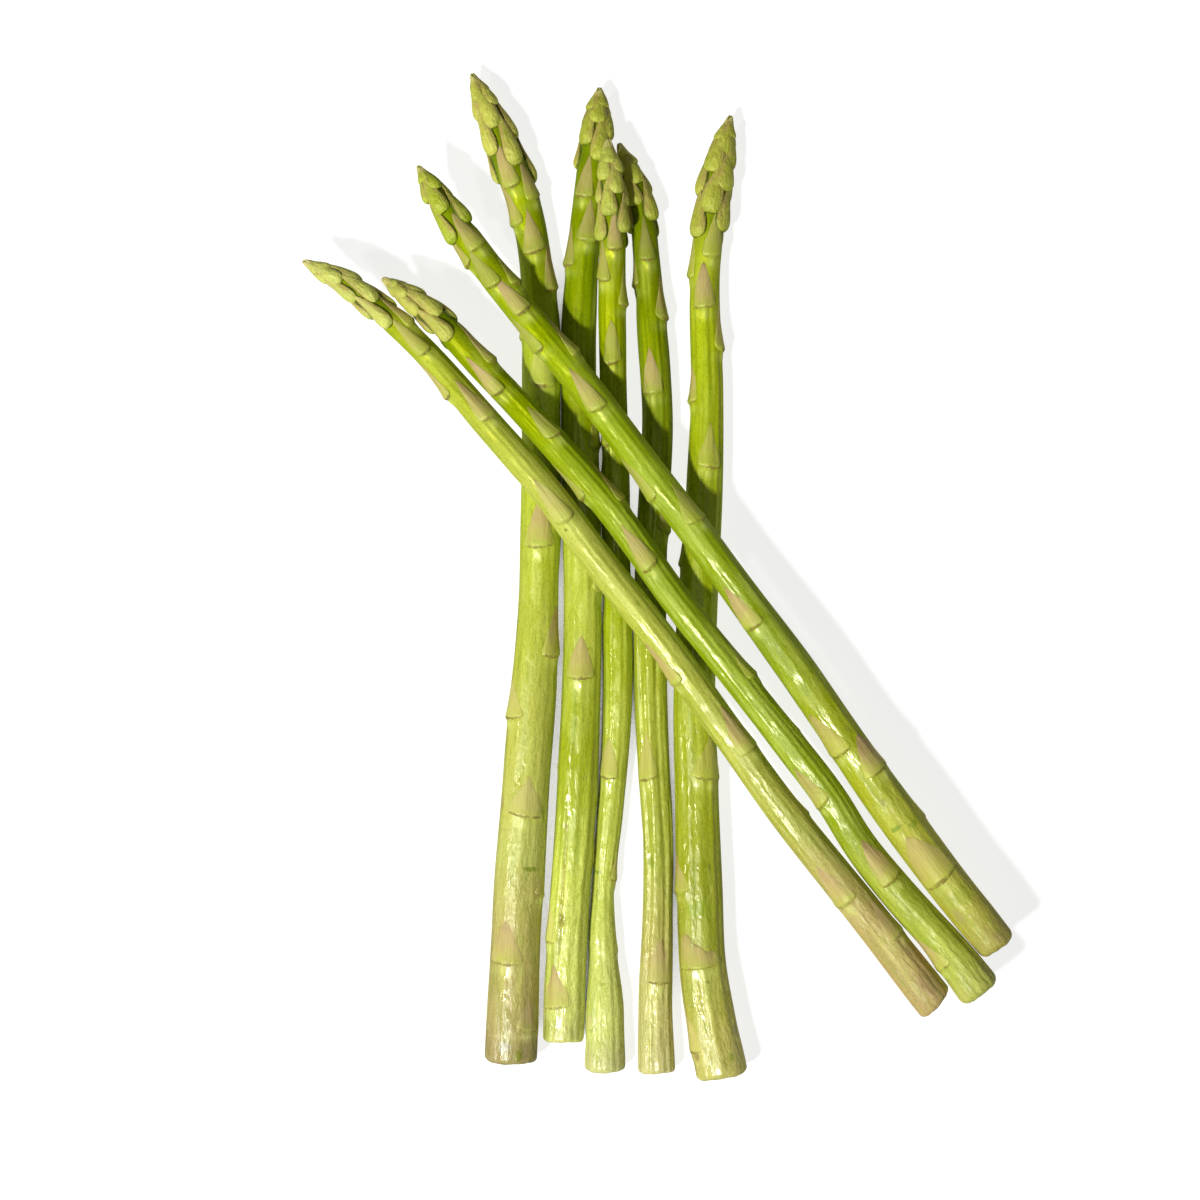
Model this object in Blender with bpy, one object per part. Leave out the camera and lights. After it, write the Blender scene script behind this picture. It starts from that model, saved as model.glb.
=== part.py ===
"""A loose bundle of eight green asparagus spears, lying as they were put down.

Five spears lie side by side on a flat surface and three lie across them. A spear grew as
one piece: a stem, the leaf scales that climb it in a spiral, and a head of overlapping
bracts. So each spear is one solid, fused from those shapes.

Sizes are in millimetres and angles in degrees until a point is placed. The surface is at
Z = 0, the lower spears' heads point along +Y, and +X is to their right.
"""

import math
import random
from bisect import bisect_left

import bmesh
import bpy
from mathutils import Vector

MM = 0.001
CENTRE = (0.41, -0.29)  # of the whole bundle, in the routes' own X and Y

# The stem, as rings of corners from the cut end to the tip
STEM_SIDES = 12
RING_STEP = 17.0
HEAD_RING_STEP = 4.5
CUT_RIM = ((0.0, 0.85), (0.5, 0.95), (1.5, 1.0))  # mm from the cut, share of the radius
POINT_RADIUS = 0.3
PRESSED = 0.25  # how far a lower spear's underside is pressed flat

# A leaf scale lies flat on the stem, widest at its base, where a bud lifts it
SCALE_LENGTH = 9.5
SCALE_WIDTH = 0.98  # share of the stem's diameter, measured round the stem
SCALE_LIFT = (0.50, 1.00)  # height of its base over the stem, at the cut end and at the head
SCALE_SINK = 0.9

# A bract is a plump pointed scale of the head
BRACT_LENGTH = (11.5, 7.5)  # at the head's foot and at its tip
BRACT_WIDTH = (0.70, 0.54)  # share of the head's width, at the foot and at the tip
BRACT_LIFT = (1.25, 0.70)
BRACT_SINK = 1.0
BRACT_SPACING = 2.1  # mean distance along the head from one bract to the next
SPIRAL_TURN = 137.5  # from one leaf to the next, round the spear

LEAF_SEGMENTS = 6
LEAF_RINGS = 4
MERGE = 0.01  # corners closer than this become one

# Colours, roughness
STEM_GREEN = (0.30, 0.42, 0.03)
STEM_PALE = (0.46, 0.52, 0.12)
SCALE_TAN = (0.47, 0.42, 0.18)
BRACT_GREEN = (0.42, 0.47, 0.10)
SKIN_ROUGHNESS = 0.42
SCALE_ROUGHNESS = 0.6


class Spear:
    """One spear's sizes, and the curve that its middle follows."""

    def __init__(self, name, route, widths, head, bed, lift, scales, colour):
        self.name = name
        self.widths = widths  # (share of the length, stem diameter)
        self.head_length, self.head_width = head
        self.bed = bed  # height of the underside, at the cut end and at the head
        self.lift = lift  # (how much higher the head is, over what length)
        self.scales = scales  # (distance from the cut end, angle from the top to the right)
        self.colour = colour
        self.line = smooth_route([Vector((x - CENTRE[0], y - CENTRE[1], 0.0)) for x, y in route])
        self.along = [0.0]
        for a, b in zip(self.line, self.line[1:]):
            self.along.append(self.along[-1] + (b - a).length)
        self.length = self.along[-1]
        self.neck = self.length - self.head_length

    def stem_radius(self, s):
        return read_table(self.widths, s / self.length) / 2

    def core_radius(self, s):
        """The stem's radius, or that of the head under its bracts."""
        if s <= self.neck:
            return self.stem_radius(s)
        t = (s - self.neck) / self.head_length
        neck = self.stem_radius(self.neck)
        full = self.head_width / 2 - 0.75 * BRACT_LIFT[0]
        if t < 0.25:
            return neck + (full - neck) * ease(t / 0.25)
        return POINT_RADIUS + (full - POINT_RADIUS) * math.cos(
            math.pi / 2 * ((t - 0.25) / 0.75) ** 1.15
        )

    def middle(self, s):
        """The point on the centre line, at its height over the surface."""
        i = min(max(bisect_left(self.along, s), 1), len(self.along) - 1)
        share = (s - self.along[i - 1]) / (self.along[i] - self.along[i - 1])
        point = self.line[i - 1].lerp(self.line[i], share)
        rise, over = self.lift
        point.z = (
            self.stem_radius(min(s, self.neck))
            + self.bed[0]
            + (self.bed[1] - self.bed[0]) * s / self.length
            + rise * ease((s - self.length + over) / over)
        )
        return point

    def surface(self, s, angle, radius):
        """The point that far from the centre line, turned by angle from the top to the right."""
        point = self.middle(s)
        ahead = (self.middle(s + 0.5) - self.middle(s - 0.5)).normalized()
        right = ahead.cross(Vector((0, 0, 1))).normalized()
        up = right.cross(ahead)
        turn = math.radians(angle)
        return (point + radius * (math.cos(turn) * up + math.sin(turn) * right)) * MM


def ease(t):
    """From 0 to 1 with no corner, for t from 0 to 1."""
    t = min(max(t, 0.0), 1.0)
    return t * t * (3 - 2 * t)


def read_table(rows, at):
    """The value at a place between rows of (place, value), eased from one to the next."""
    for (a, first), (b, second) in zip(rows, rows[1:]):
        if at <= b:
            return first + (second - first) * ease((at - a) / (b - a))
    return rows[-1][1]


def smooth_route(points, step=1.0):
    """Points about a step apart on one smooth curve through the given ones."""
    knots = [0.0]
    for a, b in zip(points, points[1:]):
        knots.append(knots[-1] + (b - a).length)
    last = len(points) - 1
    slopes = [
        (points[min(i + 1, last)] - points[max(i - 1, 0)])
        / (knots[min(i + 1, last)] - knots[max(i - 1, 0)])
        for i in range(len(points))
    ]
    line = [points[0].copy()]
    for i in range(last):
        span = knots[i + 1] - knots[i]
        count = max(1, round(span / step))
        for k in range(1, count + 1):
            t = k / count
            line.append(
                points[i] * (1 + 2 * t) * (1 - t) ** 2
                + slopes[i] * span * t * (1 - t) ** 2
                + points[i + 1] * t * t * (3 - 2 * t)
                + slopes[i + 1] * span * t * t * (t - 1)
            )
    return line


SPEARS = (
    Spear(
        "spear_lower_1",
        route=[(-33.2, -112.4), (-31.7, -76.9), (-29.7, -47.0), (-27.3, -17.1), (-26.5, 8.2),
               (-26.4, 35.8), (-26.5, 61.1), (-29.1, 82.2), (-35.0, 99.0), (-42.3, 116.1)],
        widths=[(0, 12.0), (0.15, 11.5), (0.3, 10.8), (0.5, 9.1), (0.7, 8.8), (0.82, 7.6), (1, 7.6)],
        head=(27.0, 9.0),
        bed=(-PRESSED, -PRESSED),
        lift=(1.3, 60.0),
        scales=[(8, 37), (23, -23), (39, 65), (57, 4), (79, -70), (94, 66), (119, -4), (137, 150),
                (156, 6), (167, -110), (178, 62), (187, 2), (194, -62), (199, 45), (203, -24)],
        colour=STEM_PALE,
    ),
    Spear(
        "spear_lower_2",
        route=[(-21.2, -107.8), (-20.5, -86.1), (-18.2, -51.6), (-17.1, -17.1), (-17.0, 8.2),
               (-17.5, 40.4), (-17.6, 58.8), (-16.2, 78.3), (-14.2, 95.6), (-12.6, 112.9)],
        widths=[(0, 9.4), (0.15, 9.4), (0.3, 9.2), (0.5, 8.4), (0.7, 7.7), (0.82, 7.4), (1, 7.4)],
        head=(20.0, 8.2),
        bed=(-PRESSED, -PRESSED),
        lift=(1.1, 60.0),
        scales=[(8, -26), (23, -72), (41, 125), (62, -145), (84, -3), (104, 78), (121, -125),
                (137, 66), (158, 168), (179, -72), (185, 12), (195, -23)],
        colour=STEM_GREEN,
    ),
    Spear(
        "spear_lower_3",
        route=[(-11.5, -114.7), (-11.6, -97.6), (-12.1, -80.4), (-11.6, -67.7), (-10.1, -53.9),
               (-8.8, -37.8), (-8.4, -19.4), (-8.9, 8.2), (-9.3, 36.4), (-9.8, 65.7),
               (-9.8, 84.0), (-11.0, 100.6)],
        widths=[(0, 9.4), (0.06, 8.5), (0.13, 6.4), (0.2, 5.1), (0.27, 5.8), (0.4, 6.7),
                (0.6, 6.4), (0.8, 6.0), (1, 5.8)],
        head=(24.0, 7.4),
        bed=(-PRESSED, -PRESSED),
        lift=(7.6, 95.0),
        scales=[(10, -60), (27, 135), (44, 80), (68, -30), (91, 150), (122, 165), (145, -40),
                (164, -6), (177, 64), (183, -50), (190, 11)],
        colour=STEM_PALE,
    ),
    Spear(
        "spear_lower_4",
        route=[(0.5, -115.1), (0.2, -97.6), (0.7, -79.2), (0.9, -63.1), (-0.2, -44.7),
               (-0.9, -26.3), (-1.0, -3.3), (0.0, 19.7), (0.6, 38.1), (-0.9, 61.1),
               (-2.0, 74.9), (-3.6, 87.5), (-8.3, 100.1)],
        widths=[(0, 8.5), (0.08, 7.6), (0.2, 6.9), (0.4, 7.3), (0.6, 7.3), (0.75, 7.1),
                (0.88, 6.0), (1, 6.0)],
        head=(22.0, 7.0),
        bed=(-PRESSED, -PRESSED),
        lift=(1.2, 60.0),
        scales=[(21, 12), (45, -150), (68, -32), (92, 125), (125, 56), (141, -145), (157, -18),
                (174, 60), (182, -84), (188, 3)],
        colour=STEM_PALE,
    ),
    Spear(
        "spear_lower_5",
        route=[(15.6, -115.8), (12.9, -102.2), (11.1, -89.6), (10.4, -72.3), (9.8, -49.3),
               (9.1, -30.9), (9.8, -7.9), (11.5, 17.4), (12.2, 42.7), (11.6, 68.0),
               (13.1, 85.2), (15.6, 97.9), (17.6, 106.4)],
        widths=[(0, 12.0), (0.06, 11.3), (0.15, 10.6), (0.3, 10.0), (0.45, 9.3), (0.6, 8.3),
                (0.8, 7.1), (1, 6.9)],
        head=(30.0, 8.7),
        bed=(-PRESSED, -PRESSED),
        lift=(1.5, 60.0),
        scales=[(7, -82), (26, -8), (43, -76), (69, 36), (93, 160), (118, -110), (141, 8),
                (156, -80), (168, 68), (178, -4), (185, -82), (190, 24)],
        colour=STEM_PALE,
    ),
    Spear(
        "spear_upper_1",
        route=[(64.4, -98.1), (54.2, -85.2), (40.6, -67.9), (27.0, -50.6), (14.7, -33.2),
               (1.2, -14.8), (-12.7, 3.1), (-25.8, 20.4), (-39.1, 35.8), (-54.4, 52.9),
               (-68.0, 65.0), (-80.6, 71.9)],
        widths=[(0, 9.2), (0.1, 8.4), (0.3, 7.6), (0.5, 7.6), (0.7, 7.1), (0.85, 6.0), (1, 5.8)],
        head=(26.0, 6.6),
        bed=(9.6, 9.6),
        lift=(0.4, 60.0),
        scales=[(18, 52), (31, -36), (52, 125), (72, 34), (94, -62), (116, 160), (139, -10),
                (155, -150), (168, 22), (178, -78), (189, 0), (196, 62)],
        colour=STEM_PALE,
    ),
    Spear(
        "spear_upper_2",
        route=[(74.7, -95.4), (66.6, -85.1), (56.2, -73.4), (46.9, -61.9), (39.7, -50.5),
               (31.1, -39.0), (22.1, -27.5), (4.8, -5.6), (-9.2, 13.9), (-21.9, 28.9),
               (-39.2, 47.4), (-50.2, 59.0), (-62.5, 67.9)],
        widths=[(0, 10.0), (0.1, 8.3), (0.3, 7.5), (0.5, 7.1), (0.7, 7.0), (0.85, 6.2), (1, 6.0)],
        head=(22.0, 7.0),
        bed=(9.6, 9.6),
        lift=(0.4, 60.0),
        scales=[(10, -72), (33, 20), (56, -48), (72, 140), (89, 80), (106, -135), (123, -6),
                (139, 84), (145, -80), (160, 28), (176, -29), (182, 64)],
        colour=STEM_GREEN,
    ),
    Spear(
        "spear_upper_3",
        route=[(78.6, -85.1), (64.7, -67.5), (52.1, -50.5), (40.2, -33.2), (28.2, -16.0),
               (11.7, 6.6), (-2.3, 25.0), (-17.7, 45.0), (-29.0, 58.8), (-38.2, 70.3),
               (-47.3, 82.9), (-54.3, 93.7)],
        widths=[(0, 8.8), (0.05, 9.4), (0.15, 9.9), (0.3, 9.0), (0.5, 7.8), (0.7, 7.4),
                (0.85, 6.9), (1, 6.4)],
        head=(21.0, 7.6),
        bed=(9.6, 9.6),
        lift=(0.4, 60.0),
        scales=[(18, -18), (34, 120), (49, 38), (57, -46), (75, 155), (92, -36), (119, 34),
                (129, -74), (153, -11), (166, 70), (172, -58), (181, 2), (187, 66), (190, -28),
                (197, -78), (199, 18)],
        colour=STEM_GREEN,
    ),
)


def make_material(name, colour, roughness):
    material = bpy.data.materials.new(name)
    material.use_nodes = True
    shader = material.node_tree.nodes["Principled BSDF"]
    shader.inputs["Base Color"].default_value = (*colour, 1.0)
    shader.inputs["Roughness"].default_value = roughness
    shader.inputs["Metallic"].default_value = 0.0
    return material


def make_object(name, mesh_builder, material, collection):
    """A new object whose mesh comes from a bmesh, shaded smooth, in the given collection."""
    mesh = bpy.data.meshes.new(name)
    mesh_builder.to_mesh(mesh)
    mesh_builder.free()
    mesh.materials.append(material)
    obj = bpy.data.objects.new(name, mesh)
    collection.objects.link(obj)
    return obj


def stations(spear):
    """Where the stem's rings of corners stand along the spear."""
    places = [place for place, _ in CUT_RIM]
    plain = spear.neck - places[-1]
    count = round(plain / RING_STEP)
    places += [places[-1] + plain * (k + 1) / count for k in range(count)]
    count = round(spear.head_length / HEAD_RING_STEP)
    places += [spear.neck + spear.head_length * (k + 1) / count for k in range(count)]
    return places


def make_stem(spear, collection, material):
    """The stem and the head's core: a cylinder cut into rings, each moved to its place."""
    places = stations(spear)
    spans = len(places) - 1
    builder = bmesh.new()
    bmesh.ops.create_cone(
        builder, cap_ends=True, segments=STEM_SIDES, radius1=1.0, radius2=1.0, depth=1.0
    )
    upright = [e for e in builder.edges if abs(e.verts[0].co.z - e.verts[1].co.z) > 0.5]
    bmesh.ops.subdivide_edges(builder, edges=upright, cuts=spans - 1)
    for vert in builder.verts:
        s = places[round((vert.co.z + 0.5) * spans)]
        angle = math.degrees(math.atan2(vert.co.x, vert.co.y))
        share = read_table(CUT_RIM, s) if s < CUT_RIM[-1][0] else 1.0
        vert.co = spear.surface(s, angle, spear.core_radius(s) * share)
    builder.normal_update()
    bmesh.ops.recalc_face_normals(builder, faces=builder.faces)
    return make_object(spear.name, builder, material, collection)


def scale_outline(a):
    """Half width, as a share, of a leaf scale: blunt at the base, straight to a point."""
    return (1 - math.exp(-28 * a)) * max(1 - a, 0.0) ** 0.8


def scale_crown(a):
    """Height, as a share, of a leaf scale: a lip at the base, thinning to the tip."""
    return (1 - math.exp(-28 * a)) * (0.25 + 0.75 * (1 - a) ** 1.2)


def bract_outline(a):
    """Half width, as a share, of a bract: round at the base, drawn out to a point."""
    return max(math.sin(math.pi * a**0.72), 0.0) ** 0.85


def bract_crown(a):
    """Height, as a share, of a bract: fullest low down, close to the core at the tip."""
    return 0.12 + 0.88 * max(math.sin(math.pi * a**0.62), 0.0) ** 0.8


def make_leaf(spear, name, start, angle, size, outline, crown, sink, collection, material):
    """A closed leaf bent round the spear: a sphere drawn out along it, its root sunk in."""
    length, width, lift = size
    builder = bmesh.new()
    bmesh.ops.create_uvsphere(
        builder, u_segments=LEAF_SEGMENTS, v_segments=LEAF_RINGS, radius=1.0
    )
    for vert in builder.verts:
        x, y, z = vert.co
        a = min(max((z + 1) / 2, 0.0), 1.0)
        round_it = math.hypot(x, y)
        side, out = (x / round_it, y / round_it) if round_it > 1e-6 else (0.0, 0.0)
        s = start + a * length
        core = spear.core_radius(s)
        height = lift * crown(a) * out if out > 0 else min(sink, 0.6 * core) * out
        radius = core + height
        arc = width / 2 * outline(a) * side
        vert.co = spear.surface(s, angle + math.degrees(arc / max(core, 1.2)), radius)
    bmesh.ops.remove_doubles(builder, verts=builder.verts, dist=1e-6)
    builder.normal_update()
    bmesh.ops.recalc_face_normals(builder, faces=builder.faces)
    return make_object(name, builder, material, collection)


def add_scales(spear, collection, material, chance):
    """The leaf scales of the stem, at the places where this spear grew them."""
    for i, (start, angle) in enumerate(spear.scales):
        t = start / spear.neck
        size = (
            SCALE_LENGTH * chance.uniform(0.9, 1.15),
            SCALE_WIDTH * 2 * spear.stem_radius(start) * chance.uniform(0.85, 1.05),
            SCALE_LIFT[0] + (SCALE_LIFT[1] - SCALE_LIFT[0]) * t,
        )
        name = f"{spear.name}_scale_{i + 1}"
        make_leaf(spear, name, start, angle, size, scale_outline, scale_crown, SCALE_SINK,
                  collection, material)


def add_bracts(spear, collection, material, chance):
    """The head's bracts, in the spiral that the leaf scales follow, closer to the tip."""
    count = round(spear.head_length / BRACT_SPACING)
    first = spear.neck - 1.5
    reach = spear.head_length * 0.93
    for i in range(count):
        t = i / count
        start = first + reach * (1 - (1 - t) ** 1.3)
        angle = spear.scales[-1][1] + SPIRAL_TURN * (i + 1)
        length = BRACT_LENGTH[0] + (BRACT_LENGTH[1] - BRACT_LENGTH[0]) * t
        size = (
            min(length * chance.uniform(0.92, 1.08), spear.length - start),
            spear.head_width * (BRACT_WIDTH[0] + (BRACT_WIDTH[1] - BRACT_WIDTH[0]) * t),
            (BRACT_LIFT[0] + (BRACT_LIFT[1] - BRACT_LIFT[0]) * t) * chance.uniform(0.9, 1.1),
        )
        name = f"{spear.name}_bract_{i + 1}"
        make_leaf(spear, name, start, angle, size, bract_outline, bract_crown, BRACT_SINK,
                  collection, material)


def tidy_skin(mesh):
    """Merges corners that all but meet, and drops the pockets that bracts close."""
    builder = bmesh.new()
    builder.from_mesh(mesh)
    bmesh.ops.remove_doubles(builder, verts=builder.verts, dist=MERGE * MM)
    bmesh.ops.dissolve_degenerate(builder, edges=builder.edges, dist=0.2 * MERGE * MM)
    bmesh.ops.triangulate(builder, faces=builder.faces)
    bodies = []
    unseen = set(builder.faces)
    while unseen:
        front = [unseen.pop()]
        body = list(front)
        while front:
            face = front.pop()
            joined = [edge for edge in face.edges if len(edge.link_faces) == 2]
            near = {other for edge in joined for other in edge.link_faces} & unseen
            unseen -= near
            front.extend(near)
            body.extend(near)
        bodies.append(body)
    bodies.sort(key=len)
    for pocket in bodies[:-1]:
        bmesh.ops.delete(builder, geom=pocket, context="FACES")
    builder.to_mesh(mesh)
    builder.free()


def add_boolean(obj, name, operation):
    modifier = obj.modifiers.new(name, "BOOLEAN")
    modifier.operation = operation
    modifier.solver = "MANIFOLD"
    return modifier


def fuse(obj, leaves, cutter):
    """Joins the leaves to the stem as one body, flat where the surface presses it."""
    union = add_boolean(obj, "leaves grow on it", "UNION")
    union.operand_type = "COLLECTION"
    union.collection = leaves
    if cutter:
        add_boolean(obj, "flat where it lies", "DIFFERENCE").object = cutter
    graph = bpy.context.evaluated_depsgraph_get()
    fused = bpy.data.meshes.new_from_object(obj.evaluated_get(graph))
    obj.modifiers.clear()
    tidy_skin(fused)
    obj.data = fused
    for leaf in list(leaves.objects):
        bpy.data.objects.remove(leaf)
    bpy.data.collections.remove(leaves)


def make_surface_cutter(collection):
    """The block under the surface, which leaves flat spots where a spear lies on it."""
    builder = bmesh.new()
    bmesh.ops.create_cube(builder, size=1.0)
    for vert in builder.verts:
        vert.co = Vector((vert.co.x * 400, vert.co.y * 400, (vert.co.z - 0.5) * 20)) * MM
    mesh = bpy.data.meshes.new("surface_cutter")
    builder.to_mesh(mesh)
    builder.free()
    cutter = bpy.data.objects.new("surface_cutter", mesh)
    cutter.hide_render = True
    cutter.display_type = "WIRE"
    collection.objects.link(cutter)
    return cutter


def main():
    for obj in list(bpy.data.objects):
        bpy.data.objects.remove(obj)
    bundle = bpy.data.collections.new("asparagus_bundle")
    cutters = bpy.data.collections.new("cutters")
    bpy.context.scene.collection.children.link(bundle)
    bpy.context.scene.collection.children.link(cutters)
    tan = make_material("leaf_scale", SCALE_TAN, SCALE_ROUGHNESS)
    bud = make_material("head_bract", BRACT_GREEN, SCALE_ROUGHNESS)
    cutter = make_surface_cutter(cutters)
    for number, spear in enumerate(SPEARS):
        chance = random.Random(number)
        skin = make_material(f"{spear.name}_skin", spear.colour, SKIN_ROUGHNESS)
        leaves = bpy.data.collections.new(f"{spear.name}_leaves")
        bpy.context.scene.collection.children.link(leaves)
        stem = make_stem(spear, bundle, skin)
        add_scales(spear, leaves, tan, chance)
        add_bracts(spear, leaves, bud, chance)
        fuse(stem, leaves, cutter if min(spear.bed) < 0 else None)
        stem.data.shade_smooth()
        stem.data.set_sharp_from_angle(angle=math.radians(38))


main()
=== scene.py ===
import math
import random

import bmesh
import bpy
import numpy as np
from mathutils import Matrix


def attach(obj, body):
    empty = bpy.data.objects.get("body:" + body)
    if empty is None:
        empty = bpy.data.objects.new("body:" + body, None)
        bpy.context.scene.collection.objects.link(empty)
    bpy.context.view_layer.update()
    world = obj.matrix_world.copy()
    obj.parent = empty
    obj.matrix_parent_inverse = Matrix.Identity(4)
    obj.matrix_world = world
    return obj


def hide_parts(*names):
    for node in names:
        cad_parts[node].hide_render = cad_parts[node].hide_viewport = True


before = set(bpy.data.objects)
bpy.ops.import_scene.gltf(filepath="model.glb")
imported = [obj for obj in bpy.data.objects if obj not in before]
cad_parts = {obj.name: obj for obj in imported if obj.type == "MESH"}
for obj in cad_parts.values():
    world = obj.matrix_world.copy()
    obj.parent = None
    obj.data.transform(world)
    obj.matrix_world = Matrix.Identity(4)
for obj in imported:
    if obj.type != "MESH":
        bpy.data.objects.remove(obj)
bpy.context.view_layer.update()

bpy.ops.object.select_all(action="DESELECT")

# THE STEMS
# Each spear is one grown shoot: a juicy stem, thick near its cut end and mostly slimmer towards
# its head, ribbed along its length by the strands inside it. Five lie side by side on the
# table, and three lie across them. Measures are in mm, and places in mm from the cut end.

MM = 0.001
MIDDLE = (0.41, -0.29)  # of the bundle, in the routes' own x and y
PRESSED = 0.25  # how far a lower spear's underside is pressed flat
CROSSING_HEIGHT = 9.6  # of the undersides of the three spears that lie across
FULLEST = 0.25  # share of a head's length at which it is thickest
BRACT_ROOM = 0.94  # how much of a head's radius its bracts take up
POINT_RADIUS = 0.3
RIB_HEIGHT = 0.055  # of the strands that show through the skin
CUSHION = 0.26  # how far the skin swells under a leaf scale, and at the bud by its foot
CUSHION_WIDTH, BUD_WIDTH, FOOT_HIGHLIGHT_WIDTH = 42, 13, 50  # degrees round the stem
BLANK_RADIUS = 5.0  # of the cylinder that each stem starts as

# Angles go from the top to the right, in degrees, and colours from 0 to 255. The rows hold:
#   route: x, y of the middle line, from the cut end to the tip
#   widths: share of the length, width
#   head: its length and width
#   lift: how far the head rises, and over what length
#   scales, the leaf scales: place, angle
#   tones, of the skin: share of the length, colour
#   rim, cut: how far the cut end's edge is rounded, and how far that end slants
#   bracts: their length at the head's foot and at its tip, share of the head's width, spacing
#   sheen: roughness where moist, where dull, and what the dried cut end adds
#   grooves, or ridges: angle, width in degrees, height, first and last place
#   sized, odd leaf scales: share of the usual length, share of the usual width
#   marks: place, angle, half width, half length, colour, strength

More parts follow.
